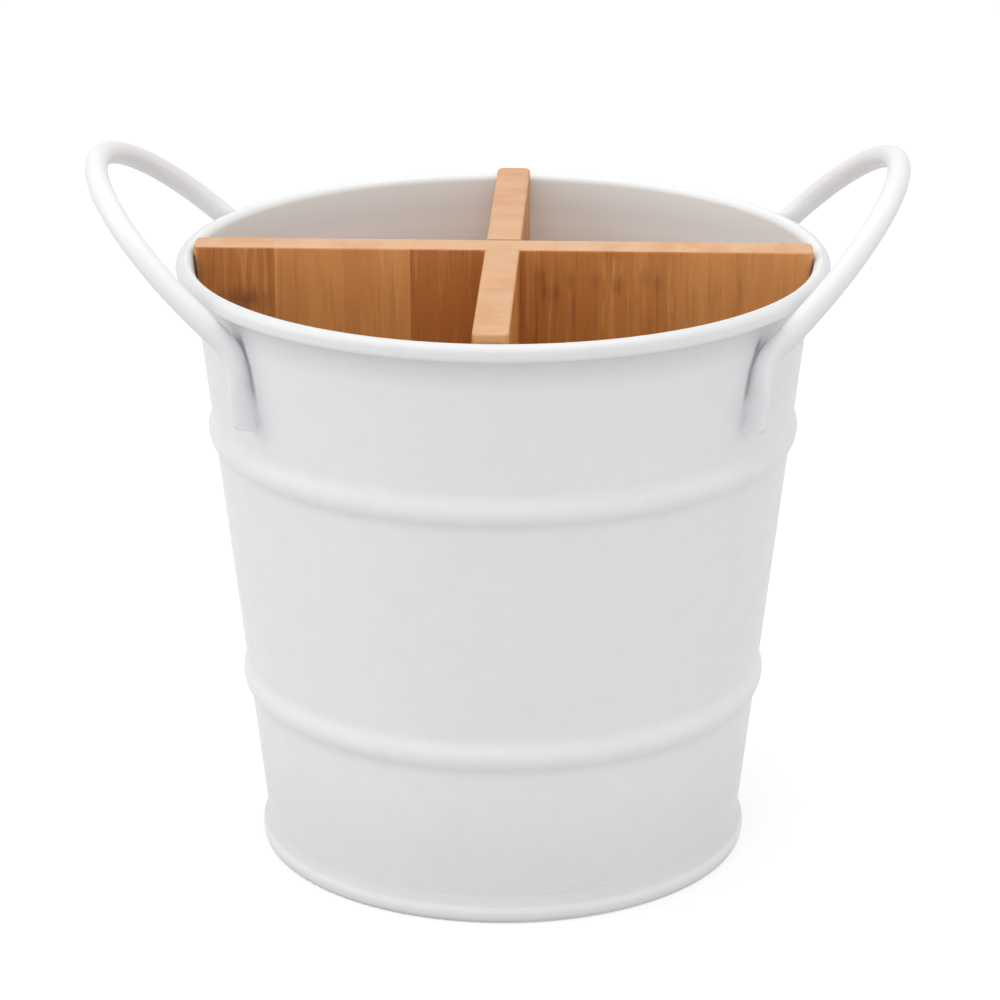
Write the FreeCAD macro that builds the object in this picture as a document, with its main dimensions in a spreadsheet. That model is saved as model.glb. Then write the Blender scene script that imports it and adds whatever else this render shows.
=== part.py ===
import FreeCAD, Part
import math
import os
import re
import Sketcher

# Utensil holder: a tapered sheet steel pail with a wired rim, two swaged beads, a double-seamed base
# and two fixed loop handles, divided into four by two bamboo boards that cross in a half-lap joint.
# Millimetres. Z is up, the floor is Z = 0, the pail turns about the Z axis and the handles lie along X.

Vector = FreeCAD.Vector

# Driving sizes: alias, value and what it measures. Lengths in millimetres, angles in degrees.
SIZES = [
    ("pail_height", 161.5, "floor to the top of the rolled rim"),
    ("foot_radius", 62.8, "outside of the wall, carried down its slope to the floor"),
    ("wall_lean", 6.47, "angle of the wall from upright"),
    ("sheet_thickness", 0.4, "wall and base sheet"),
    ("curl_diameter", 4.5, "outside of the rolled rim"),
    ("curl_wrap", 305, "angle that the rim's sheet is rolled through"),
    ("wire_diameter", 3.5, "wire inside the rolled rim"),
    ("bead_depth", 1.45, "how far a bead stands out of the wall"),
    ("bead_radius", 5.6, "crest and blends of a bead, on its outside"),
    ("lower_bead_level", 47.2, "floor to the middle of the lower bead"),
    ("upper_bead_drop", 45.9, "top of the rim down to the middle of the upper bead"),
    ("lock_seam_width", 6.0, "folded side seam at the back"),
    ("lock_seam_depth", 0.8, "how far the side seam stands out of the wall"),
    ("seam_height", 5.0, "double seam round the foot"),
    ("seam_gap", 0.02, "between two layers of a folded seam"),
    ("seam_corner_radius", 0.3, "inside corners of the base where it stands"),
    ("foot_rise", 0.6, "upright part of the wall above the double seam"),
    ("foot_bend_radius", 6.0, "bend from the upright foot to the leaning wall"),
    ("panel_level", 5.5, "floor to the top of the base panel"),
    ("panel_bend_radius", 1.0, "bend at the edge of the base panel, on its underside"),
    ("rod_diameter", 6.0, "handle rod"),
    ("loop_radius", 47.5, "middle line of the handle's half circle"),
    ("right_loop_tilt", 47.2, "slope of the right handle's loop"),
    ("left_loop_tilt", 43.9, "slope of the left handle's loop, bent a little lower"),
    ("handle_rise", 27.0, "top of the rim up to the highest point of a handle"),
    ("leg_bend_radius", 19.2, "middle line of the bend between a handle's loop and its legs"),
    ("leg_drop", 33.5, "top of the rim down to the bottom of a handle's leg"),
    ("pad_width", 10.2, "pressed end of a leg, across"),
    ("pad_thickness", 3.5, "pressed end of a leg, through"),
    ("pad_end_radius", 6.0, "rounded bottom of a leg"),
    ("pad_seat", 0.3, "how much of the pressed end is coined to the wall's curve"),
    ("press_run", 5.0, "straight part of a leg over which the pressing still deepens"),
    ("board_thickness", 9.1, "bamboo boards"),
    ("board_rise", 2.0, "top of the boards above the rim"),
    ("board_gap", 0.4, "between a board's end and the wall"),
    ("slot_play", 0.3, "slot width less board thickness"),
    ("slot_relief", 0.5, "between the bottoms of the two slots"),
    ("end_round", 2.0, "upright edges of the boards"),
    ("edge_round", 0.8, "top edges of the boards"),
    ("divider_turn", 1.2, "how far the loose divider is turned, clockwise from above"),
]
NAMES = [alias for alias, value, meaning in SIZES]
BEND_STEPS = 5      # sections along a leg's bend
PRESS_STEPS = 2     # sections below it, down to where the leg has its full width

document = FreeCAD.newDocument("utensil_holder")
sizes = document.addObject("Spreadsheet::Sheet", "Sizes")
for row, (alias, value, meaning) in enumerate(SIZES, start=1):
    sizes.set("A%d" % row, meaning)
    sizes.set("B%d" % row, str(value))
    sizes.setAlias("B%d" % row, alias)
document.recompute()


# Formulas

def formula(words):
    """The expression for a formula that is written in the sheet's plain names."""
    return re.sub(r"[a-z_]+", lambda word: "Sizes." + word[0] if word[0] in NAMES else word[0], words)


def size(words):
    """The present value of a formula, in millimetres or degrees."""
    result = sizes.evalExpression(formula(words))
    return float(getattr(result, "Value", result))


def tie(thing, path, words):
    """Bind one property or constraint of an object to a formula."""
    thing.setExpression(path, formula(words))


# Wall: the outer face leans outwards from the foot, and each bead is an arc out, an arc over and an arc back.
UPPER_BEAD = "(pail_height - upper_bead_drop)"
BEAD_ANGLE = "acos(1 - bead_depth / (2 * bead_radius))"
BEAD_HALF = f"(2 * bead_radius * sin({BEAD_ANGLE}))"
FOOT_CORNER = "(seam_height + foot_rise + foot_bend_radius * tan(wall_lean / 2))"
FOOT_WALL = f"(foot_radius + {FOOT_CORNER} * tan(wall_lean))"
CURL_LEVEL = "(pail_height - curl_diameter / 2)"
CURL_INSIDE = "(curl_diameter / 2 - sheet_thickness)"
CURL_START = f"({CURL_LEVEL} + {CURL_INSIDE} * sin(wall_lean))"
CURL_MIDDLE = f"(foot_radius + {CURL_START} * tan(wall_lean) + {CURL_INSIDE} * cos(wall_lean))"
SLOPE_TO_LOWER = (f"((lower_bead_level - {FOOT_CORNER}) / cos(wall_lean)"
                  f" - foot_bend_radius * tan(wall_lean / 2) - {BEAD_HALF})")
SLOPE_BETWEEN = f"(({UPPER_BEAD} - lower_bead_level) / cos(wall_lean) - 2 * {BEAD_HALF})"

# Double seam: from the inside out, the layers are base, wall, base hook, wall hook and base.
SEAM_TURN = "(sheet_thickness * 1.5 + seam_gap)"
SEAM_TOP = f"(seam_height - {SEAM_TURN})"
SEAM_BOTTOM = f"(sheet_thickness + seam_gap + {SEAM_TURN})"


def wall_radius(level):
    """Formula for the radius of the wall's outer face, beads left out, at a level."""
    return f"(foot_radius + ({level}) * tan(wall_lean))"


# Sketching

def origin_plane(body, role):
    """One of the body's own origin planes."""
    return [plane for plane in body.Origin.OriginFeatures if plane.Role == role][0]


def new_body(label):
    """An empty body that gives its node's name to its file."""
    body = document.addObject("PartDesign::Body", label)
    body.Label = label
    return body


def new_sketch(body, name, role):
    """A sketch on one of the body's origin planes."""
    sketch = body.newObject("Sketcher::SketchObject", name)
    sketch.AttachmentSupport = [(origin_plane(body, role), "")]
    sketch.MapMode = "FlatFace"
    return sketch


def constrain(sketch, constraints):
    """Add constraints, given as (arguments, formula or None), and bind those that have a formula."""
    indices = sketch.addConstraint([Sketcher.Constraint(*arguments) for arguments, words in constraints])
    for index, (arguments, words) in zip(indices, constraints):
        if words is not None:
            tie(sketch, "Constraints[%d]" % index, words)


def fix_point(geometry, end, x_words, y_words):
    """Constraints that hold a point at its formulas' place; a formula of "0" puts it on the axis."""
    constraints = []
    for kind, words, axis in (("DistanceX", x_words, -2), ("DistanceY", y_words, -1)):
        if words == "0":
            constraints.append((("PointOnObject", geometry, end, axis), None))
        else:
            constraints.append(((kind, -1, 1, geometry, end, size(words)), words))
    return constraints


def draw_polygon(sketch, corners):
    """A closed outline of straight lines through corners given as pairs of formulas."""
    points = [Vector(size(x_words), size(y_words), 0) for x_words, y_words in corners]
    following = points[1:] + points[:1]
    lines = [sketch.addGeometry(Part.LineSegment(a, b), False) for a, b in zip(points, following)]
    constraints = []
    for line, after, (x_words, y_words) in zip(lines, lines[1:] + lines[:1], corners):
        constraints.append((("Coincident", line, 2, after, 1), None))
        constraints += fix_point(line, 1, x_words, y_words)
    constrain(sketch, constraints)


def draw_face(sketch, point, heading, pieces, radius_change):
    """One face of a folded sheet as a chain of tangent lines and arcs.

    Returns the first and last geometry with the ends that are open, and the constraints.
    """
    chain, constraints = [], []
    for piece in pieces:
        forward = Vector(math.cos(heading), math.sin(heading), 0)
        if piece[0] == "line":
            end = point + forward * size(piece[1])
            geometry = sketch.addGeometry(Part.LineSegment(point, end), False)
            constraints.append((("Distance", geometry, size(piece[1])), piece[1]))
            starts, ends = 1, 2
        else:
            radius_words = f"({piece[1]} {'+' if piece[3] > 0 else '-'} {radius_change})"
            radius, turn, side = size(radius_words), math.radians(size(piece[2])), piece[3]
            to_centre = Vector(-forward.y, forward.x, 0) * side
            centre = point + to_centre * radius
            first = math.atan2(-to_centre.y, -to_centre.x)
            last = first + turn * side
            circle = Part.Circle(centre, Vector(0, 0, 1), radius)
            geometry = sketch.addGeometry(Part.ArcOfCircle(circle, min(first, last), max(first, last)), False)
            constraints.append((("Radius", geometry, radius), radius_words))
            constraints.append((("Angle", geometry, turn), piece[2]))
            starts, ends = (1, 2) if side > 0 else (2, 1)
            end = centre + Vector(math.cos(last), math.sin(last), 0) * radius
            heading += turn * side
        if chain:
            constraints.append((("Tangent", chain[-1][0], chain[-1][2], geometry, starts), None))
        chain.append((geometry, starts, ends))
        point = end
    return (chain[0][0], chain[0][1]), (chain[-1][0], chain[-1][2]), constraints


def draw_sheet(sketch, start, heading, pieces, thickness):
    """Closed section of a folded sheet, which starts with a line and has its left face at the start.

    A piece is ("line", length) or ("arc", left face's radius, angle, +1 to the left or -1 to the right).
    """
    angle = {"right": 0.0, "up": math.pi / 2, "down": -math.pi / 2}[heading]
    along, across = ("Horizontal", "Vertical") if heading == "right" else ("Vertical", "Horizontal")
    left = Vector(size(start[0]), size(start[1]), 0)
    right = left + Vector(math.sin(angle), -math.cos(angle), 0) * size(thickness)
    left_first, left_last, left_constraints = draw_face(sketch, left, angle, pieces, "0")
    right_first, right_last, right_constraints = draw_face(sketch, right, angle, pieces, thickness)
    ends = [(left_first, right_first), (left_last, right_last)]
    edges = []
    for (a, a_end), (b, b_end) in ends:
        edge = sketch.addGeometry(Part.LineSegment(sketch.getPoint(a, a_end), sketch.getPoint(b, b_end)), False)
        edges += [(("Coincident", edge, 1, a, a_end), None), (("Coincident", edge, 2, b, b_end), None)]
    first_edge = edges[0][0][1]
    constraints = fix_point(left_first[0], left_first[1], *start) + left_constraints + right_constraints + edges
    constraints += [((along, left_first[0]), None), ((along, right_first[0]), None), ((across, first_edge), None)]
    constraints.append((("Distance", first_edge, size(thickness)), thickness))
    constrain(sketch, constraints)


def revolve(body, name, sketch, angle="360", kind="PartDesign::Revolution"):
    """Turn a sketch about the body's Z axis, or cut with it when the kind is a groove."""
    feature = body.newObject(kind, name)
    feature.Profile = sketch
    feature.ReferenceAxis = (sketch, ["V_Axis"])
    feature.Midplane = True
    tie(feature, "Angle", angle)
    return feature


# Pail body: one folded section turned about the axis, from the hook in the double seam, round under the
# base's hook, up the wall with its two beads, and outwards over the rim wire.

def bead(outer_change):
    """The three arcs of a bead; outer_change is how far this face lies inside the bead's outer face."""
    return [
        ("arc", f"(bead_radius + {outer_change})", BEAD_ANGLE, -1),
        ("arc", f"(bead_radius - {outer_change})", f"2 * {BEAD_ANGLE}", 1),
        ("arc", f"(bead_radius + {outer_change})", BEAD_ANGLE, -1),
    ]


def leaning_wall(outer_change, last_length):
    """The wall from the bend above the foot to its top, for the face outer_change inside the outer one."""
    return ([("arc", f"(foot_bend_radius + {outer_change})", "wall_lean", -1), ("line", SLOPE_TO_LOWER)]
            + bead(outer_change) + [("line", SLOPE_BETWEEN)] + bead(outer_change) + [("line", last_length)])


def make_pail_body():
    body = new_body("pail_body")
    section = new_sketch(body, "wall_section", "XZ_Plane")
    slope_to_curl = f"(({CURL_START} - {UPPER_BEAD}) / cos(wall_lean) - {BEAD_HALF})"
    pieces = [("line", f"({SEAM_TOP} - {SEAM_BOTTOM})"),
              ("arc", SEAM_TURN, "180", -1),
              ("line", f"(seam_height + foot_rise - {SEAM_BOTTOM})")]
    pieces += leaning_wall("sheet_thickness", slope_to_curl)
    pieces.append(("arc", "curl_diameter / 2", "curl_wrap", -1))
    hook = f"({FOOT_WALL} + 2 * seam_gap + 2 * sheet_thickness)"
    draw_sheet(section, (hook, SEAM_TOP), "down", pieces, "sheet_thickness")
    revolve(body, "wall", section)

    # the folded side seam is a second, thicker strip along the same line, rooted in the middle of the sheet
    seam = new_sketch(body, "side_seam_section", "YZ_Plane")
    seam_start = "(seam_height + foot_rise / 2)"
    slope_to_rim = f"(({CURL_LEVEL} - {CURL_INSIDE} - {UPPER_BEAD}) / cos(wall_lean) - {BEAD_HALF})"
    strip = [("line", "foot_rise / 2")] + leaning_wall("sheet_thickness / 2", slope_to_rim)
    draw_sheet(seam, (f"({FOOT_WALL} - sheet_thickness / 2)", seam_start), "up", strip,
               "(lock_seam_depth + sheet_thickness / 2)")
    revolve(body, "side_seam", seam, f"2 * atan(lock_seam_width / 2 / {wall_radius('pail_height / 2')})")
    return body


# Rim wire: a closed ring that the rim's sheet is rolled round.

def make_rim_wire():
    ring = document.addObject("Part::Torus", "rim_wire")
    tie(ring, "Radius1", CURL_MIDDLE)
    tie(ring, "Radius2", "wire_diameter / 2")
    tie(ring, "Placement.Base.z", CURL_LEVEL)
    return ring


# Base: a flat panel, let down inside the wall to the floor, out under the wall's hook, up and back over it.

def make_base_disc():
    body = new_body("base_disc")
    section = new_sketch(body, "base_section", "XZ_Plane")
    edge_turn = "(panel_bend_radius + sheet_thickness)"
    pieces = [
        ("line", f"({FOOT_WALL} - sheet_thickness - seam_gap - {edge_turn})"),
        ("arc", edge_turn, "90", -1),
        ("line", f"(panel_level - {edge_turn} - sheet_thickness - seam_corner_radius)"),
        ("arc", "seam_corner_radius", "90", 1),
        ("line", "(3 * sheet_thickness + 4 * seam_gap - 2 * seam_corner_radius)"),
        ("arc", "seam_corner_radius", "90", 1),
        ("line", f"({SEAM_TOP} - sheet_thickness - seam_corner_radius)"),
        ("arc", "(sheet_thickness / 2 + seam_gap)", "180", 1),
        ("line", f"({SEAM_TOP} - {SEAM_BOTTOM})"),
    ]
    draw_sheet(section, ("0", "panel_level"), "right", pieces, "sheet_thickness")
    revolve(body, "base", section)
    return body


# Handle: a round rod bent to a half circle on a slope, whose legs bend down onto the wall and are pressed
# into flat paddles there. The left handle is made on the right and turned half a turn about the pail's axis.

LEG_FOOT = "(pail_height - leg_drop)"
PAD_LEVEL = f"({LEG_FOOT} + pad_width)"
PAD_RADIUS = f"({wall_radius(PAD_LEVEL)} + (pad_thickness / 2 - pad_seat) / cos(wall_lean))"
PAD_X = f"sqrt(pow({PAD_RADIUS}; 2) - pow(loop_radius; 2))"
PAD_BEARING = f"asin(loop_radius / {PAD_RADIUS})"
LEG_LEAN = f"atan(tan(wall_lean) / cos({PAD_BEARING}))"


class HandleLine:
    """Formulas for the middle line of a handle, from the name of its loop's slope."""

    def __init__(self, tilt):
        self.tilt = tilt
        self.turn = f"(90 deg - {tilt} * 1 deg - {LEG_LEAN})"
        self.loop_z = f"(pail_height + handle_rise - rod_diameter / 2 - loop_radius * sin({tilt}))"
        self.loop_x = (f"({PAD_X} + ({self.loop_z} - {PAD_LEVEL}) * tan({LEG_LEAN})"
                       f" + leg_bend_radius * tan({self.turn} / 2) * (cos({tilt}) - sin({tilt}) * tan({LEG_LEAN})))")
        self.leg_length = (f"(({self.loop_z} - leg_bend_radius * (cos({tilt}) - sin({LEG_LEAN})) - {LEG_FOOT})"
                           f" / cos({LEG_LEAN}))")
        self.bend_length = f"(leg_bend_radius * {self.turn} * pi / 180 deg)"


def place_on_leg(sketch, line, side, fraction, drop="0", stand_up=False):
    """Put a sketch square across a leg, part of the way round its bend and then drop down the leg.

    The side is "-" for the leg at the front and "" for the leg at the back. The sketch's X axis runs across
    the paddle. With stand_up the sketch faces the wall, and its Y axis runs up the leg.
    """
    steep = f"({line.tilt} * 1 deg + {fraction} * {line.turn})"
    x = (f"{line.loop_x} + leg_bend_radius * (sin({line.tilt}) - sin({steep}))"
         f" - ({drop}) * cos({steep})")
    z = (f"{line.loop_z} - leg_bend_radius * (cos({line.tilt}) - cos({steep}))"
         f" - ({drop}) * sin({steep})")
    turn = f"rotation(vector(0; 1; 0); 90 deg - {steep})"
    bearing = f"(90 deg + atan(tan({PAD_BEARING}) * cos({LEG_LEAN})))"
    across = f"rotation(vector(0; 0; 1); {bearing if side == '-' else '-' + bearing})"
    upright = " * rotation(vector(1; 0; 0); 90)" if stand_up else ""
    tie(sketch, "AttachmentOffset", f"placement(vector({x}; {side}loop_radius; {z}); {turn} * {across}{upright})")


def draw_rod(sketch):
    """The round section of the rod."""
    circle = sketch.addGeometry(Part.Circle(Vector(), Vector(0, 0, 1), size("rod_diameter / 2")), False)
    constrain(sketch, [(("Coincident", circle, 3, -1, 1), None),
                       (("Diameter", circle, size("rod_diameter")), "rod_diameter")])


def draw_pressed_rod(sketch, share):
    """The oval section of the rod, where share of the pressing has been reached."""
    width = f"(rod_diameter + (pad_width - rod_diameter) * {share})"
    depth = f"(rod_diameter + (pad_thickness - rod_diameter) * {share})"
    ends = Vector(size(width) / 2, 0, 0), Vector(0, size(depth) / 2, 0)
    oval = sketch.addGeometry(Part.Ellipse(*ends, Vector()), False)
    sketch.exposeInternalGeometry(oval)
    across, through = oval + 1, oval + 2
    constrain(sketch, [(("Coincident", oval, 3, -1, 1), None), (("Horizontal", across), None),
                       (("Distance", across, size(width)), width), (("Distance", through, size(depth)), depth)])


def draw_leg_end(sketch):
    """What is trimmed off below the rounded bottom of a leg."""
    radius_words, side_words = "pad_end_radius", "pad_width"
    radius, side = size(radius_words), size(side_words)
    middle = Vector(0, radius, 0)
    arc = sketch.addGeometry(Part.ArcOfCircle(Part.Circle(middle, Vector(0, 0, 1), radius), math.pi, 2 * math.pi),
                             False)
    corners = [middle + Vector(radius, 0, 0), Vector(side, radius, 0), Vector(side, -radius, 0),
               Vector(-side, -radius, 0), Vector(-side, radius, 0), middle - Vector(radius, 0, 0)]
    lines = [sketch.addGeometry(Part.LineSegment(a, b), False) for a, b in zip(corners, corners[1:])]
    joints = [(("Coincident", a, 2, b, 1), None) for a, b in zip(lines, lines[1:])]
    joints += [(("Coincident", arc, 2, lines[0], 1), None), (("Coincident", lines[-1], 2, arc, 1), None)]
    levels = [(("Horizontal", lines[number]), None) for number in (0, 2, 4)]
    levels += [(("Vertical", lines[number]), None) for number in (1, 3)]
    constrain(sketch, joints + levels + fix_point(arc, 3, "0", radius_words)
              + [(("Radius", arc, radius), radius_words)]
              + fix_point(lines[1], 2, side_words, f"-{radius_words}")
              + [(("DistanceX", -1, 1, lines[3], 1, -side), f"-{side_words}"),
                 (("PointOnObject", arc, 3, lines[0]), None)])


def add_leg(body, line, side):
    """One leg: the bend in which the rod starts to be pressed flat, the paddle and its rounded bottom."""
    stations = [(f"({step} / {BEND_STEPS})", "0") for step in range(BEND_STEPS + 1)]
    stations += [("1", f"(press_run * {step} / {PRESS_STEPS})") for step in range(1, PRESS_STEPS + 1)]
    sections = []
    for fraction, drop in stations:
        section = new_sketch(body, "leg_section", "XY_Plane")
        place_on_leg(section, line, side, fraction, drop)
        if not sections:
            draw_rod(section)
        else:
            way = f"(({fraction} * {line.bend_length} + {drop}) / ({line.bend_length} + press_run))"
            draw_pressed_rod(section, f"(sin({way} * 90) ^ 2)")
        sections.append(section)
    bend = body.newObject("PartDesign::AdditiveLoft", "leg_bend")
    bend.Profile = sections[0]
    bend.Sections = sections[1:]

    paddle = new_sketch(body, "paddle_section", "XY_Plane")
    place_on_leg(paddle, line, side, "1", "press_run")
    draw_pressed_rod(paddle, "1")
    leg = body.newObject("PartDesign::Pad", "paddle")
    leg.Profile = paddle
    leg.Reversed = True
    tie(leg, "Length", f"{line.leg_length} - press_run")

    end = new_sketch(body, "leg_end_outline", "XY_Plane")
    place_on_leg(end, line, side, "1", line.leg_length, stand_up=True)
    draw_leg_end(end)
    trim = body.newObject("PartDesign::Pocket", "leg_end")
    trim.Profile = end
    trim.Midplane = True
    tie(trim, "Length", "4 * pad_thickness")


def make_handle(label, tilt, half_turn):
    body = new_body(label)
    line = HandleLine(tilt)
    path = new_sketch(body, "loop_path", "XY_Plane")
    tie(path, "AttachmentOffset",
        f"placement(vector({line.loop_x}; 0; {line.loop_z}); rotation(vector(0; 1; 0); -{tilt}))")
    circle = Part.Circle(Vector(), Vector(0, 0, 1), size("loop_radius"))
    arc = path.addGeometry(Part.ArcOfCircle(circle, -math.pi / 2, math.pi / 2), False)
    constrain(path, [(("Coincident", arc, 3, -1, 1), None), (("Radius", arc, size("loop_radius")), "loop_radius"),
                     (("PointOnObject", arc, 1, -2), None), (("PointOnObject", arc, 2, -2), None)])
    rod = new_sketch(body, "rod_section", "XY_Plane")
    place_on_leg(rod, line, "-", "0")
    draw_rod(rod)
    document.recompute()
    loop = body.newObject("PartDesign::AdditivePipe", "loop")
    loop.Profile = rod
    loop.Spine = (path, ["Edge1"])
    add_leg(body, line, "-")
    add_leg(body, line, "")

    # the paddles are coined to the wall that they are welded to
    seat = new_sketch(body, "wall_outline", "XZ_Plane")
    low, high = f"({LEG_FOOT} - pad_width)", f"({CURL_LEVEL} - curl_diameter)"
    draw_polygon(seat, [("0", low), (wall_radius(low), low), (wall_radius(high), high), ("0", high)])
    revolve(body, "wall_seat", seat, kind="PartDesign::Groove")
    tie(body, "Placement", f"placement(vector(0; 0; 0); rotation(vector(0; 0; 1); {half_turn}))")
    return body


# Divider: two boards cut to the pail's taper, which stand on the base panel and cross in a half-lap joint.

BOARD_TOP = "(pail_height + board_rise)"
SLOT_LEVEL = f"((panel_level + {BOARD_TOP}) / 2)"
SLOT_HALF = "((board_thickness + slot_play) / 2)"


def half_length(level):
    """Formula for half a board's length at a level, clear of the wall's inner face."""
    return f"({wall_radius(level)} - sheet_thickness / cos(wall_lean) - board_gap)"


def edges_where(shape, wanted):
    """Names of the edges that pass a test."""
    return ["Edge%d" % (number + 1) for number, edge in enumerate(shape.Edges) if wanted(edge)]


def round_edges(body, name, base, wanted, radius):
    """Fillet the edges of a feature that pass a test."""
    document.recompute()
    fillet = body.newObject("PartDesign::Fillet", name)
    fillet.Base = (base, edges_where(base.Shape, wanted))
    tie(fillet, "Radius", radius)
    return fillet


def make_board(label, role, slot_from_top):
    body = new_body(label)
    outline = new_sketch(body, "board_outline", role)
    bottom, top = "panel_level", BOARD_TOP
    low_end, high_end = half_length(bottom), half_length(top)
    if slot_from_top:
        slot_end = f"({SLOT_LEVEL} - slot_relief / 2)"
        slot = [(SLOT_HALF, top), (SLOT_HALF, slot_end), (f"-{SLOT_HALF}", slot_end), (f"-{SLOT_HALF}", top)]
        corners = [(f"-{low_end}", bottom), (low_end, bottom), (high_end, top)] + slot + [(f"-{high_end}", top)]
    else:
        slot_end = f"({SLOT_LEVEL} + slot_relief / 2)"
        slot = [(f"-{SLOT_HALF}", bottom), (f"-{SLOT_HALF}", slot_end), (SLOT_HALF, slot_end), (SLOT_HALF, bottom)]
        corners = [(f"-{low_end}", bottom)] + slot + [(low_end, bottom), (high_end, top), (f"-{high_end}", top)]
    draw_polygon(outline, corners)
    board = body.newObject("PartDesign::Pad", "board")
    board.Profile = outline
    board.Midplane = True
    tie(board, "Length", "board_thickness")

    full_height = size(f"({BOARD_TOP} - panel_level)")
    ends = round_edges(body, "end_rounds", board,
                       lambda edge: edge.BoundBox.ZLength > 0.99 * full_height, "end_round")
    top_level, slot_half = size(BOARD_TOP), size(SLOT_HALF)

    def on_top(edge):
        box = edge.BoundBox
        reach = max(abs(box.XMax), abs(box.XMin), abs(box.YMax), abs(box.YMin))
        return box.ZMin > top_level - 0.001 and reach > slot_half + 0.001

    round_edges(body, "top_rounds", ends, on_top, "edge_round")
    tie(body, "Placement", "placement(vector(0; 0; 0); rotation(vector(0; 0; 1); -divider_turn))")
    return body


# Assembly

pieces = [
    make_pail_body(),
    make_rim_wire(),
    make_base_disc(),
    make_handle("handle_right", "right_loop_tilt", "0"),
    make_handle("handle_left", "left_loop_tilt", "180"),
    make_board("lower_board", "YZ_Plane", slot_from_top=True),
    make_board("upper_board", "XZ_Plane", slot_from_top=False),
]
document.recompute()

faults = [thing.Label for thing in document.Objects if {"Invalid", "Error"} & set(thing.State)]
faults += [piece.Label for piece in pieces if piece.Shape.isNull() or not piece.Shape.isValid()]
faults += [piece.Label for piece in pieces if len(piece.Shape.Solids) != 1]
if faults:
    raise RuntimeError("these objects failed: " + ", ".join(faults))

os.makedirs("parts", exist_ok=True)
for piece in pieces:
    piece.Shape.exportStep(os.path.join("parts", piece.Label + ".step"))
    box = piece.Shape.BoundBox
    print("%-14s %9.1f mm3  Z %.2f to %.2f" % (piece.Label, piece.Shape.Volume, box.ZMin, box.ZMax))
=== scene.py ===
import math
import bmesh
import bpy
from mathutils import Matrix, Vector


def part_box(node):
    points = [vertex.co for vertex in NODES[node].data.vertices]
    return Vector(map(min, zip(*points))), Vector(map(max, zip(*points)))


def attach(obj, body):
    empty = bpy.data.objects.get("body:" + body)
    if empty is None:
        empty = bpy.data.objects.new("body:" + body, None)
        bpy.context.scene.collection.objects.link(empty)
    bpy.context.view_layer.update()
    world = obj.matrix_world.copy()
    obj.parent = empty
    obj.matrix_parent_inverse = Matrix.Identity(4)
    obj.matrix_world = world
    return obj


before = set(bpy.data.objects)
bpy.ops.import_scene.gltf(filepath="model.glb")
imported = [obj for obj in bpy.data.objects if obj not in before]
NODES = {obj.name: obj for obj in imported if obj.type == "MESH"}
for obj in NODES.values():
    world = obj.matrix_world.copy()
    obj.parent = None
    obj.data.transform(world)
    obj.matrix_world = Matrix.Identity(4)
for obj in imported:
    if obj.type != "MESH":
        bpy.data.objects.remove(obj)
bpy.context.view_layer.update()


# Sizes of the finishes, in metres

# painted shade on the foot fades out at this level
FOOT_SHADE_HEIGHT = 0.0360
# the band of painted shade under the rim starts here and is full this much higher
RIM_SHADE_START = 0.1480
RIM_SHADE_DEPTH = 0.0075
# painted light: the curl is paler below this level, and further out than this radius, each over a short blend
CURL_SIDE = 0.1598
CURL_TURN = 0.0016
CURL_START = 0.0808
CURL_BLEND = 0.0014
# the painted shade in the corner beside each leg: its distance from the middle plane, which shrinks above the
# bend
CREVICE_PLACE = 0.0486
CREVICE_BEND = 0.1450
CREVICE_SLANT = 0.22
CREVICE_HALF_WIDTH = 0.0011
CREVICE_TOP = 0.1535
CREVICE_LENGTH = 0.0250
PEEL_DEPTH = 0.00005
GRIT_DEPTH = 0.00002
WIRE_MARK_DEPTH = 0.00002

# bamboo: places of the glue lines along a board, and the size of its marks
BOARD_SPAN = 0.17
GLUE_LINES = [-0.0592, -0.0415, -0.0241, -0.0085, 0.0057, 0.0250, 0.0447, 0.0625]
GLUE_HALF_WIDTH = 0.00022
SCAR_RADIUS = 0.0030
SCAR_SQUASH = 0.60
GRAIN_OFFSET = 7.31
FIBRE_DEPTH = 0.00008
PORE_DEPTH = 0.00004

# Colours

# grey for the painted shade on the foot and under the rim
PAINTED_SHADE_GREY = (0.34, 0.34, 0.35)
DRIFT_COAT = (0.806, 0.820, 0.832)
SPECK_COAT = (0.70, 0.72, 0.74)
# painted light: the inner side of the wall is made paler than the outside
INSIDE_PAINTED_LIGHT = (0.912, 0.950, 0.946)
# painted light: the curl's lower side is made paler
CURL_PAINTED_LIGHT = (0.885, 0.888, 0.893)
# painted shade in the corners beside the legs
CREVICE_SHADE = (0.16, 0.165, 0.18)
BROAD_BROWN = (0.478, 0.165, 0.033)
STREAK_GOLD = (0.740, 0.370, 0.125)
FIBRE_DARK = (0.290, 0.088, 0.016)
GLUE_PALE = (0.720, 0.350, 0.130)
SCAR_DARK = (0.165, 0.050, 0.013)
WISP_PALE = (0.700, 0.340, 0.115)
SMUDGE_DARK = (0.120, 0.036, 0.010)
END_BAND = (0.620, 0.320, 0.155)
PORE_DARK = (0.42, 0.20, 0.08)
BOARD_END_PALE = (0.565, 0.325, 0.145)
# shares of the cut ends' colour where it is redder and where it is paler
REDDER = (0.94, 0.83, 0.78)
PALER = (1.04, 1.06, 1.16)


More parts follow.
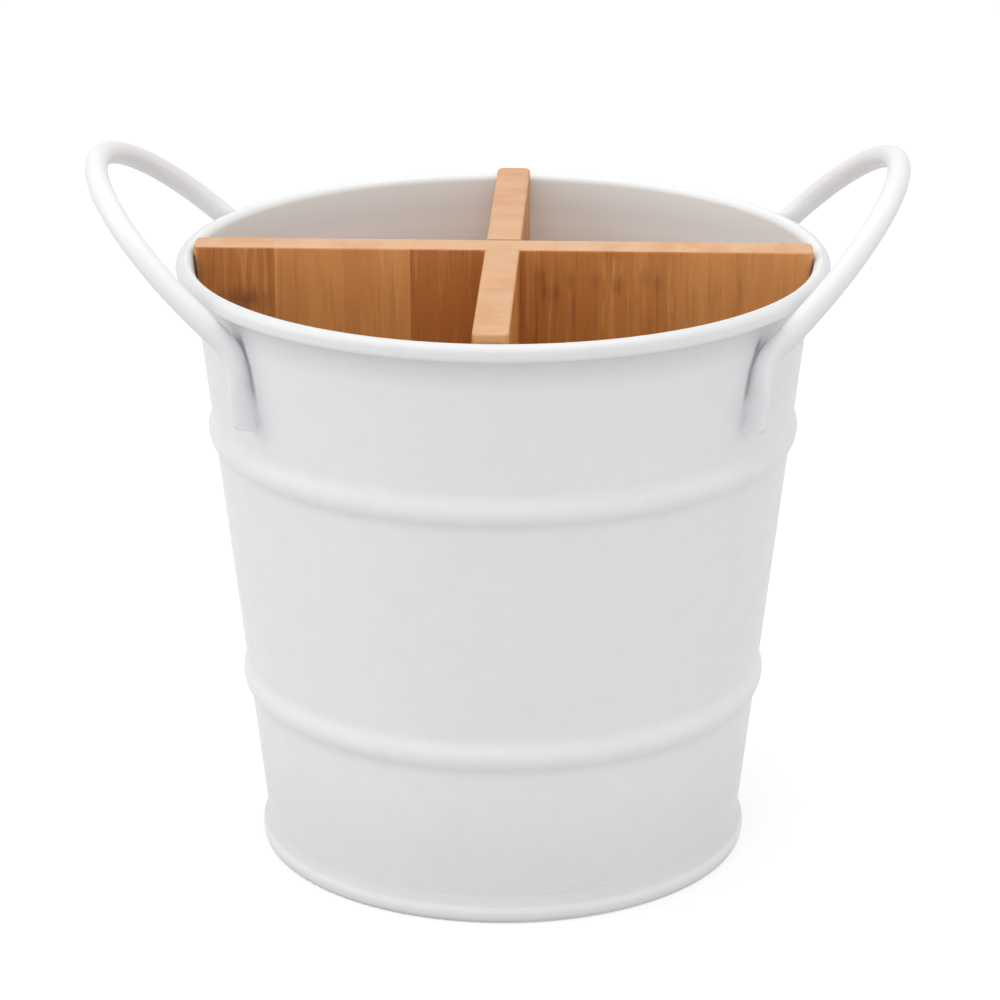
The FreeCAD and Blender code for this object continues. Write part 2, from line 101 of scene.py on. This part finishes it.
class Shader:
    """A small helper that adds nodes to one material and links them."""

    def __init__(self, name):
        self.material = bpy.data.materials.new(name)
        self.material.use_nodes = True
        self.tree = self.material.node_tree
        self.tree.nodes.clear()
        self.output = self.tree.nodes.new("ShaderNodeOutputMaterial")
        self.surface = self.tree.nodes.new("ShaderNodeBsdfPrincipled")
        self.tree.links.new(self.surface.outputs[0], self.output.inputs["Surface"])

    def link(self, source, target):
        """Link an output, or set a plain value."""
        if isinstance(source, bpy.types.NodeSocket):
            self.tree.links.new(source, target)
        else:
            target.default_value = source

    def node(self, kind, settings=None, **inputs):
        """Add a node, with its properties from settings and its inputs by position (i0, i1) or by name."""
        made = self.tree.nodes.new(kind)
        for key, value in (settings or {}).items():
            setattr(made, key, value)
        for key, value in inputs.items():
            number = key[1:]
            by_position = key[0] == "i" and number.isdigit()
            self.link(value, made.inputs[int(number)] if by_position else made.inputs[key])
        return made

    def math(self, operation, a, b=0.0, clamp=False):
        settings = {"operation": operation, "use_clamp": clamp}
        return self.node("ShaderNodeMath", settings, i0=a, i1=b).outputs[0]

    def vector_math(self, operation, output, **inputs):
        return self.node("ShaderNodeVectorMath", {"operation": operation}, **inputs).outputs[output]

    def vector(self, x, y, z):
        return self.node("ShaderNodeCombineXYZ", None, i0=x, i1=y, i2=z).outputs[0]

    def parts(self, vector):
        """The three numbers of a vector."""
        return self.node("ShaderNodeSeparateXYZ", None, Vector=vector).outputs

    def turned(self, vector, turn):
        settings = {"rotation_type": "Z_AXIS"}
        return self.node("ShaderNodeVectorRotate", settings, Vector=vector, Angle=turn).outputs[0]

    def normal(self):
        return self.node("ShaderNodeTexCoord").outputs["Normal"]

    def place(self, scale=(1, 1, 1), turn=0.0):
        """Object coordinates, turned about Z and then scaled."""
        turned = self.turned(self.node("ShaderNodeTexCoord").outputs["Object"], turn)
        return self.node("ShaderNodeMapping", None, Vector=turned, Scale=scale).outputs[0]

    def noise(self, vector, scale, detail=3.0, roughness=0.5, distortion=0.0):
        return self.node("ShaderNodeTexNoise", None, Vector=vector, Scale=scale, Detail=detail,
                         Roughness=roughness, Distortion=distortion).outputs[0]

    def ramp(self, factor, stops, interpolation="LINEAR"):
        """A colour ramp from (position, colour) pairs; a colour may be one grey number."""
        made = self.node("ShaderNodeValToRGB", None, i0=factor)
        band = made.color_ramp
        band.interpolation = interpolation
        for index, (position, colour) in enumerate(stops):
            if isinstance(colour, (int, float)):
                colour = (colour, colour, colour)
            stop = band.elements[index] if index < 2 else band.elements.new(position)
            stop.position = position
            stop.color = (*colour, 1)
        return made.outputs[0]

    def mix(self, factor, a, b):
        """Colour a where the factor is 0 and b where it is 1."""
        made = self.node("ShaderNodeMix", {"data_type": "RGBA"})
        self.link(factor, made.inputs["Factor"])
        for source, socket in ((a, made.inputs[6]), (b, made.inputs[7])):
            self.link(source if isinstance(source, bpy.types.NodeSocket) else (*source, 1), socket)
        return made.outputs[2]

    def bump(self, height, distance, strength=1.0, normal=None):
        made = self.node("ShaderNodeBump", None, Height=height, Distance=distance, Strength=strength)
        if normal is not None:
            self.link(normal, made.inputs["Normal"])
        return made.outputs[0]

    def finish(self, **inputs):
        """Set the shader's own sockets and return the material."""
        for key, value in inputs.items():
            self.link(value, self.surface.inputs[key.replace("_", " ")])
        return self.material


# Coated steel and wire

def coated_steel(name, on_wall=False):
    """White powder coat: fine orange peel, faint mottling and grey specks.

    It carries painted shade on the foot's lower edge and in the hollow over the seam. On the wall it also
    carries painted shade in the narrow corners where the handles' legs come off and in a band under the rim,
    and painted light that makes it paler inside and on the curl's lower side.
    """
    shader = Shader(name)
    place = shader.place()
    mottle = shader.noise(place, 150.0, 4.0, 0.65)
    colour = shader.ramp(mottle, [(0.30, (0.792, 0.806, 0.824)), (0.50, (0.818, 0.822, 0.834)),
                                  (0.70, (0.832, 0.833, 0.842))])
    drift = shader.noise(place, 30.0, 2.0, 0.5)
    colour = shader.mix(shader.ramp(drift, [(0.40, 0.0), (0.65, 0.35)]), colour, DRIFT_COAT)
    specks = shader.noise(place, 900.0, 2.0, 0.5)
    colour = shader.mix(shader.ramp(specks, [(0.62, 0.0), (0.80, 0.35)]), colour, SPECK_COAT)
    low = shader.math("DIVIDE", shader.parts(place)[2], FOOT_SHADE_HEIGHT)
    # painted shade from the floor up: heavy on the lower edge, almost none on the bead, more in the hollow over
    # it, then faint higher up
    foot_shade = shader.ramp(low, [(0.0, 0.58), (0.02, 0.38), (0.035, 0.24), (0.05, 0.15), (0.067, 0.11),
                                  (0.086, 0.04), (0.114, 0.05), (0.13, 0.20), (0.156, 0.26), (0.21, 0.20),
                                  (0.28, 0.12), (0.47, 0.11), (1.0, 0.0)])
    colour = shader.mix(foot_shade, colour, PAINTED_SHADE_GREY)
    if on_wall:
        colour = wall_shades(shader, colour, place)
    peel = shader.noise(place, 650.0, 2.0, 0.45)
    grit = shader.noise(place, 2600.0, 2.0, 0.5)
    surface = shader.bump(peel, PEEL_DEPTH, 0.35)
    surface = shader.bump(grit, GRIT_DEPTH, 0.25, surface)
    roughness = shader.ramp(shader.noise(place, 160.0, 3.0, 0.6), [(0.3, 0.34), (0.7, 0.46)])
    return shader.finish(Base_Color=colour, Roughness=roughness, Normal=surface)


def wall_shades(shader, colour, place):
    """Painted light and shade: a paler inner side and curl, a faint band of painted shade under the rim, and
    painted shade in the corners beside the legs.
    """
    x, y, z = shader.parts(place)
    flat = shader.vector(x, y, 0.0)
    outward = shader.vector_math("DOT_PRODUCT", "Value", i0=flat, i1=shader.normal())
    outside = shader.math("GREATER_THAN", outward, 0.0)
    # painted light: the inner side is paler
    colour = shader.mix(outside, INSIDE_PAINTED_LIGHT, colour)
    # painted shade: a grey band under the rim
    under = shader.math("DIVIDE", shader.math("SUBTRACT", z, RIM_SHADE_START), RIM_SHADE_DEPTH)
    rim_painted_shade = shader.ramp(under, [(0.0, 0.0), (0.6, 0.13), (1.0, 0.15)])
    colour = shader.mix(rim_painted_shade, colour, PAINTED_SHADE_GREY)
    # painted light: the curl's lower side is paler
    radius = shader.vector_math("LENGTH", "Value", i0=flat)
    on_curl = shader.math("DIVIDE", shader.math("SUBTRACT", radius, CURL_START), CURL_BLEND, True)
    below = shader.math("DIVIDE", shader.math("SUBTRACT", CURL_SIDE, z), CURL_TURN, True)
    colour = shader.mix(shader.math("MULTIPLY", on_curl, below), colour, CURL_PAINTED_LIGHT)
    # painted shade in the corners beside the legs, on the outer side only
    crevice_shade = shader.math("MULTIPLY", leg_crevice_shade(shader, y, z), outside)
    return shader.mix(crevice_shade, colour, CREVICE_SHADE)


def leg_crevice_shade(shader, y, z):
    """How much painted shade darkens the wall along the side of each leg that faces the front or the back, from
    0 to 1.
    """
    above = shader.math("MAXIMUM", shader.math("SUBTRACT", z, CREVICE_BEND), 0.0)
    middle = shader.math("SUBTRACT", CREVICE_PLACE, shader.math("MULTIPLY", above, CREVICE_SLANT))
    off = shader.math("ABSOLUTE", shader.math("SUBTRACT", shader.math("ABSOLUTE", y), middle))
    band = shader.ramp(shader.math("DIVIDE", off, CREVICE_HALF_WIDTH), [(0.20, 1.0), (1.0, 0.0)])
    down = shader.math("DIVIDE", shader.math("SUBTRACT", CREVICE_TOP, z), CREVICE_LENGTH)
    ends = shader.ramp(down, [(0.0, 0.0), (0.10, 0.62), (0.58, 0.62), (0.72, 0.14), (0.94, 0.10), (1.0, 0.0)])
    return shader.math("MULTIPLY", band, ends)


def steel_wire():
    """Drawn wire with fine marks and a little dull oxide."""
    shader = Shader("drawn_wire")
    place = shader.place()
    oxide = shader.noise(place, 220.0, 5.0, 0.65)
    colour = shader.ramp(oxide, [(0.35, (0.30, 0.29, 0.28)), (0.65, (0.52, 0.52, 0.52))])
    roughness = shader.ramp(oxide, [(0.3, 0.55), (0.7, 0.32)])
    marks = shader.noise(place, 1800.0, 2.0, 0.5)
    return shader.finish(Base_Color=colour, Metallic=1.0, Roughness=roughness,
                         Normal=shader.bump(marks, WIRE_MARK_DEPTH))


# Bamboo

class Board:
    """The axes and grain of one board, which is glued up from upright strips."""

    def __init__(self, name, turn, seed, tones):
        shader = Shader(name)
        self.shader = shader
        self.turn = turn
        self.seed = seed
        self.along, self.across, self.up = shader.parts(shader.place(turn=turn))
        # each strip has its own tone, and its grain starts elsewhere
        position = shader.node("ShaderNodeMath", {"operation": "MULTIPLY_ADD"}, i0=self.along,
                               i1=1 / BOARD_SPAN, i2=0.5).outputs[0]
        later = [((edge / BOARD_SPAN) + 0.5, tone) for edge, tone in zip(GLUE_LINES, tones[1:])]
        strip = shader.ramp(position, [(0.0, tones[0])] + later, "CONSTANT")
        self.tone = shader.node("ShaderNodeSeparateColor", None, i0=strip).outputs[0]
        offset = shader.math("MULTIPLY", self.tone, GRAIN_OFFSET)
        self.shifted = shader.vector(shader.math("ADD", self.along, offset), self.across,
                                     shader.math("ADD", self.up, offset))
        self.fine = shader.noise(self.stretched(1.0, 1.0, 0.055), 820.0, 3.0, 0.6)
        self.streaks = shader.noise(self.stretched(1.0, 0.6, 0.075), 300.0, 3.0, 0.6, 0.4)

    def stretched(self, x, y, z):
        """The strips' coordinates, scaled along each axis: a small z draws the grain out upwards."""
        return self.shader.node("ShaderNodeMapping", None, Vector=self.shifted, Scale=(x, y, z),
                                Location=(self.seed, self.seed, self.seed)).outputs[0]

    def near(self, value, middle, half):
        """How far value is from middle, counted in halves."""
        off = self.shader.math("ABSOLUTE", self.shader.math("SUBTRACT", value, middle))
        return self.shader.math("DIVIDE", off, half)

    def patch(self, middle, level, half_width, half_height, soft):
        """1 inside a ragged oval patch, falling to 0 at its edge."""
        shader = self.shader
        ragged = shader.noise(self.stretched(1.0, 1.0, 0.35), 210.0, 3.0, 0.6)
        both = shader.vector(self.near(self.along, middle, half_width),
                             self.near(self.up, level, half_height), 0.0)
        reach = shader.vector_math("LENGTH", "Value", i0=both)
        inside = shader.math("SUBTRACT", shader.math("ADD", 0.5, ragged), reach)
        return shader.ramp(inside, [(0.0, 0.0), (soft, 1.0)])

    def glue(self):
        """How far a point is from the nearest glue line, at most 1."""
        nearest = 1.0
        for edge in GLUE_LINES:
            nearest = self.shader.math("MINIMUM", nearest, self.near(self.along, edge, GLUE_HALF_WIDTH))
        return nearest


def board_face(board):
    """The flat side: strips of several browns with darker fibres, gold streaks and pale glue lines."""
    shader = board.shader
    broad = shader.noise(board.stretched(1.0, 0.8, 0.16), 95.0, 3.0, 0.55)
    face = shader.ramp(board.tone, [(0.0, (0.735, 0.335, 0.104)), (0.5, (0.578, 0.218, 0.046)),
                                    (1.0, (0.412, 0.126, 0.020))])
    face = shader.mix(shader.ramp(broad, [(0.40, 0.0), (0.66, 0.38)]), face, BROAD_BROWN)
    face = shader.mix(shader.ramp(board.streaks, [(0.52, 0.0), (0.70, 0.60)]), face, STREAK_GOLD)
    dark_fibres = shader.math("MULTIPLY", shader.ramp(board.fine, [(0.28, 0.50), (0.47, 0.0)]),
                              shader.math("ADD", 0.45, board.tone))
    face = shader.mix(dark_fibres, face, FIBRE_DARK)
    return shader.mix(shader.ramp(board.glue(), [(0.4, 0.15), (1.0, 0.0)]), face, GLUE_PALE)


def scar_spots(board, scars):
    """Soft blurred spots, longer along the grain, with no line or edge in them that could look like writing."""
    shader = board.shader
    nearest = 1.0
    flat = shader.vector(board.along, shader.math("MULTIPLY", board.up, SCAR_SQUASH), 0.0)
    for place, level in scars:
        reach = shader.vector_math("DISTANCE", "Value", i0=flat, i1=(place, level * SCAR_SQUASH, 0.0))
        nearest = shader.math("MINIMUM", nearest, shader.math("DIVIDE", reach, SCAR_RADIUS))
    grain = shader.ramp(board.fine, [(0.30, 1.0), (0.65, 0.55)])
    return shader.math("MULTIPLY", grain, shader.ramp(nearest, [(0.0, 0.42), (0.22, 0.32), (0.70, 0.0)]))


def cut_end_grain(board, cut_end, pores):
    """The cut ends: the fibre bundles show as fine pores, and the strips as faint bands."""
    shader = board.shader
    cloud = shader.noise(shader.place((1.0, 0.5, 1.0), board.turn), 130.0, 3.0, 0.5)
    redder = [part * share for part, share in zip(cut_end, REDDER)]
    paler = [part * share for part, share in zip(cut_end, PALER)]
    end = shader.ramp(cloud, [(0.36, redder), (0.50, cut_end), (0.64, paler)])
    end = shader.mix(shader.math("MULTIPLY", board.tone, 0.30), end, END_BAND)
    return shader.mix(shader.ramp(pores, [(0.60, 0.0), (0.75, 0.40)]), end, PORE_DARK)


def bamboo(name, turn, seed, tones, cut_end, scars, smudge, wisps):
    """A board of upright bamboo strips: the grain runs up, so the top edge shows the cut ends.

    tones is how deep each strip's colour is from 0 to 1, and cut_end is the colour of the cut ends. Where
    the cane had a joint there are scars, small soft dark spots given as (place along the board, level). The
    smudge is a patch of dark fibres and the wisps are patches of pale ones, each given as (middle along the
    board, level, half width, half height). All in metres.
    """
    board = Board(name, turn, seed, tones)
    shader = board.shader
    face = shader.mix(scar_spots(board, scars), board_face(board), SCAR_DARK)
    pale_noise = shader.noise(board.stretched(1.0, 0.6, 0.055), 430.0, 2.0, 0.5)
    pale = shader.ramp(pale_noise, [(0.53, 0.0), (0.62, 0.55)])
    for wisp in wisps:
        face = shader.mix(shader.math("MULTIPLY", pale, board.patch(*wisp, 0.5)), face, WISP_PALE)
    grime_noise = shader.noise(board.stretched(1.0, 1.0, 0.16), 620.0, 3.0, 0.6)
    grime = shader.ramp(grime_noise, [(0.34, 0.30), (0.62, 0.85)])
    dark = shader.math("MULTIPLY", grime, board.patch(*smudge, 0.90))
    face = shader.mix(shader.math("MULTIPLY", dark, 0.85), face, SMUDGE_DARK)

    # the ends of a board show the flat side of its outermost strip, which is paler than the faces
    endward, _, upward = shader.parts(shader.turned(shader.normal(), turn))
    on_side = shader.ramp(shader.math("ABSOLUTE", endward), [(0.45, 0.0), (0.85, 0.75)])
    face = shader.mix(on_side, face, BOARD_END_PALE)
    pores = shader.noise(shader.place((1.0, 1.0, 0.3), turn), 1900.0, 2.0, 0.6)
    on_end = shader.ramp(shader.math("ABSOLUTE", upward), [(0.35, 0.0), (0.75, 1.0)])
    colour = shader.mix(on_end, face, cut_end_grain(board, cut_end, pores))

    relief = shader.math("ADD", shader.math("MULTIPLY", board.fine, 0.6),
                         shader.math("MULTIPLY", board.streaks, 0.4))
    surface = shader.bump(relief, FIBRE_DEPTH, 0.45)
    surface = shader.bump(pores, PORE_DEPTH, 0.3, surface)
    roughness = shader.ramp(board.streaks, [(0.3, 0.50), (0.7, 0.38)])
    return shader.finish(Base_Color=colour, Roughness=roughness, Normal=surface)


# The materials of the nodes

# the divider stands turned by this much in the pail
TURN = math.radians(1.2)

coat = coated_steel("white_coat")
wall_coat = coated_steel("white_coat_wall", on_wall=True)
wire = steel_wire()
upper_wood = bamboo("bamboo_upper", TURN, 0.0,
                    tones=(0.78, 0.24, 0.20, 0.80, 0.80, 0.66, 0.54, 0.26, 0.10),
                    cut_end=(0.722, 0.428, 0.231),
                    scars=[(0.0098, 0.1562), (0.0110, 0.1524), (0.0132, 0.1518), (0.0172, 0.1556),
                           (0.0243, 0.1553), (0.0300, 0.1538), (0.0368, 0.1559), (0.0402, 0.1546)],
                    smudge=(-0.0680, 0.1494, 0.0090, 0.0046),
                    wisps=[(0.0270, 0.1440, 0.0100, 0.0085), (0.0275, 0.1585, 0.0050, 0.0035)])
lower_wood = bamboo("bamboo_lower", TURN - math.pi / 2, 3.7,
                    tones=(0.40, 0.55, 0.30, 0.62, 0.45, 0.35, 0.58, 0.30, 0.50),
                    cut_end=(0.686, 0.392, 0.202),
                    scars=[(0.0260, 0.1180), (0.0302, 0.1190), (0.0345, 0.1172), (0.0398, 0.1184)],
                    smudge=(-0.0520, 0.0710, 0.0100, 0.0060),
                    wisps=[(0.0330, 0.1080, 0.0090, 0.0080)])

MATERIALS = {"pail_body": wall_coat, "base_disc": coat, "handle_right": coat, "handle_left": coat,
             "rim_wire": wire, "lower_board": lower_wood, "upper_board": upper_wood}
for name, node in NODES.items():
    node.data.materials.clear()
    node.data.materials.append(MATERIALS[name])
    node.data.polygons.foreach_set("use_smooth", [True] * len(node.data.polygons))


# The coat on the foot's seam, in metres and degrees

# the seam's shoulder is this far over the wall's lower edge, and the coat stands just clear of it
SHOULDER_RISE = 0.0039
SHOULDER_CLEARANCE = 0.00013
SHOULDER_SLOPE = 24.0
CROWN_RADIUS = 0.0036
UNDERSIDE_RADIUS = 0.0057
UNDERSIDE_ANGLE = 22.0
RUN_UP = 0.0018
HOLLOW_RADIUS = 0.0045
WALL_LEAN = 6.5
SINK_OUT = 0.00003
SINK_UP = 0.0012
COAT_DEPTH = 0.0004
ARC_STEPS = 8
RING_SEGMENTS = 288


def arc_points(middle, radius, first, last):
    """Points of an arc in the (radius, level) plane, with angles in degrees from straight outwards."""
    angles = [math.radians(first + (last - first) * step / ARC_STEPS) for step in range(ARC_STEPS + 1)]
    return [(middle[0] + radius * math.cos(angle), middle[1] + radius * math.sin(angle)) for angle in angles]


def turned_ring(name, outline):
    """A closed outline of (radius, level) points turned about the Z axis."""
    form = bmesh.new()
    rings = []
    for segment in range(RING_SEGMENTS):
        angle = 2 * math.pi * segment / RING_SEGMENTS
        rings.append([form.verts.new((r * math.cos(angle), r * math.sin(angle), z)) for r, z in outline])
    for ring, following in zip(rings, rings[1:] + rings[:1]):
        for index in range(len(outline)):
            after = (index + 1) % len(outline)
            form.faces.new((ring[index], following[index], following[after], ring[after]))
    bmesh.ops.recalc_face_normals(form, faces=form.faces)
    mesh = bpy.data.meshes.new(name)
    form.to_mesh(mesh)
    form.free()
    mesh.polygons.foreach_set("use_smooth", [True] * len(mesh.polygons))
    made = bpy.data.objects.new(name, mesh)
    bpy.context.scene.collection.objects.link(made)
    return made


def foot_seam_coat():
    """The powder coat bridges the folded seam at the foot, and leaves it one soft round bead."""
    seam_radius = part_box("base_disc")[1][0]
    seam_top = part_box("pail_body")[0][2] + SHOULDER_RISE
    slope = math.radians(SHOULDER_SLOPE)
    # the crown touches the shoulder line just clear of the seam's upper corner
    shoulder = (seam_radius + SHOULDER_CLEARANCE, seam_top)
    crown_middle = (shoulder[0] - CROWN_RADIUS * math.cos(slope), shoulder[1] - CROWN_RADIUS * math.sin(slope))
    crown = arc_points(crown_middle, CROWN_RADIUS, 0.0, SHOULDER_SLOPE)
    # below the crown a flatter arc runs down to the seam's own rounded lower edge
    lower_middle = (crown[0][0] - UNDERSIDE_RADIUS, crown_middle[1])
    lower = arc_points(lower_middle, UNDERSIDE_RADIUS, -UNDERSIDE_ANGLE, 0.0)
    # above it the coat runs up onto the wall, which it meets in a hollow
    rise_end = (shoulder[0] - RUN_UP * math.sin(slope), shoulder[1] + RUN_UP * math.cos(slope))
    hollow_middle = (rise_end[0] + HOLLOW_RADIUS * math.cos(slope),
                     rise_end[1] + HOLLOW_RADIUS * math.sin(slope))
    hollow = arc_points(hollow_middle, HOLLOW_RADIUS, 180.0 + SHOULDER_SLOPE, 180.0 - WALL_LEAN)
    # past the hollow the coat sinks gently into the wall, so that no edge shows
    hollow.append((hollow[-1][0] + SINK_OUT, hollow[-1][1] + SINK_UP))
    back = [(hollow[-1][0] - COAT_DEPTH, hollow[-1][1]),
            (hollow[0][0] - COAT_DEPTH, hollow[0][1] - COAT_DEPTH),
            (shoulder[0] - COAT_DEPTH, shoulder[1] - COAT_DEPTH),
            (lower[0][0] - COAT_DEPTH, lower[0][1])]
    coat_ring = turned_ring("foot_seam_coat", lower + crown[1:] + hollow + back)
    coat_ring.data.materials.append(coat)
    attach(coat_ring, "pail")


foot_seam_coat()


# Floor and light

FLOOR_HALF_WIDTH = 6.0
FLOOR_GLOW = 0.55
TENT_ABOVE = 0.70
TENT_BELOW = 0.61
# the tent's two strengths blend over this much above and below the horizon
TENT_BLEND = 0.15
WHITE = (1.0, 1.0, 1.0)
LIGHT_AIM = (0.0, 0.0, 0.1)
# name, place, width, height, power in watts, colour
LIGHTS = [
    ("over", (0.0, 0.1, 1.7), 1.6, 1.2, 8.6, (1.0, 0.985, 0.955)),
    ("key_front", (0.0, -1.25, 1.55), 1.6, 0.9, 4.8, WHITE),
    ("fill_front", (0.0, -1.7, 0.25), 1.8, 0.5, 3.5, WHITE),
    ("side_left", (-1.5, -0.1, 0.9), 1.0, 1.2, 6.8, WHITE),
    ("side_right", (1.5, -0.1, 0.9), 1.0, 1.2, 2.6, WHITE),
]


def stage_plane():
    """A large pale floor."""
    mesh = bpy.data.meshes.new("floor")
    form = bmesh.new()
    bmesh.ops.create_grid(form, x_segments=1, y_segments=1, size=FLOOR_HALF_WIDTH)
    form.to_mesh(mesh)
    form.free()
    floor = bpy.data.objects.new("floor", mesh)
    bpy.context.scene.collection.objects.link(floor)
    shader = Shader("floor_paper")
    grain = shader.noise(shader.place(), 300.0, 3.0, 0.5)
    colour = shader.ramp(grain, [(0.3, (0.48, 0.48, 0.48)), (0.7, (0.50, 0.50, 0.50))])
    mesh.materials.append(shader.finish(Base_Color=colour, Roughness=0.9, Emission_Color=(*WHITE, 1.0),
                                        Emission_Strength=FLOOR_GLOW))
    floor.visible_diffuse = False


def area_light(name, place, width, height, power, colour):
    """A soft rectangular light that points at the holder."""
    data = bpy.data.lights.new(name, "AREA")
    data.shape = "RECTANGLE"
    data.size = width
    data.size_y = height
    data.energy = power
    data.color = colour
    light = bpy.data.objects.new(name, data)
    light.location = place
    light.rotation_mode = "QUATERNION"
    light.rotation_quaternion = (Vector(LIGHT_AIM) - Vector(place)).to_track_quat("-Z", "Y")
    bpy.context.scene.collection.objects.link(light)


def light_tent():
    """A white tent all round, a little dimmer below the horizon than above it."""
    world = bpy.data.worlds.new("studio")
    bpy.context.scene.world = world
    world.use_nodes = True
    nodes = world.node_tree.nodes
    links = world.node_tree.links
    direction = nodes.new("ShaderNodeTexCoord")
    split = nodes.new("ShaderNodeSeparateXYZ")
    level = nodes.new("ShaderNodeMapRange")
    level.inputs["From Min"].default_value = -TENT_BLEND
    level.inputs["From Max"].default_value = TENT_BLEND
    level.inputs["To Min"].default_value = TENT_BELOW
    level.inputs["To Max"].default_value = TENT_ABOVE
    links.new(direction.outputs["Generated"], split.inputs[0])
    links.new(split.outputs["Z"], level.inputs["Value"])
    links.new(level.outputs[0], nodes["Background"].inputs["Strength"])
    nodes["Background"].inputs["Color"].default_value = (*WHITE, 1.0)


stage_plane()
for light_settings in LIGHTS:
    area_light(*light_settings)
light_tent()
bpy.context.scene.view_settings.view_transform = "Standard"


# Camera

SENSOR_WIDTH = 36.0
# the focal length that the photograph's perspective gives, in its own pixels, and the width of the picture
FOCAL_PIXELS = 3892.0
PICTURE_PIXELS = 1000.0
PICTURE_SHIFT = -0.003
CAMERA_DISTANCE = 0.976
CAMERA_HEIGHT = 0.434
CAMERA_PITCH = 19.25
# the holder stands turned by one degree in the photograph, so the camera goes round it by as much
CAMERA_YAW = math.radians(1.0)

camera_data = bpy.data.cameras.new("camera")
camera_data.sensor_width = SENSOR_WIDTH
camera_data.lens = SENSOR_WIDTH * FOCAL_PIXELS / PICTURE_PIXELS
camera_data.shift_x = PICTURE_SHIFT
camera = bpy.data.objects.new("camera", camera_data)
camera.location = (CAMERA_DISTANCE * math.sin(CAMERA_YAW), -CAMERA_DISTANCE * math.cos(CAMERA_YAW),
                   CAMERA_HEIGHT)
camera.rotation_euler = (math.radians(90.0 - CAMERA_PITCH), 0.0, CAMERA_YAW)
bpy.context.scene.collection.objects.link(camera)
bpy.context.scene.camera = camera
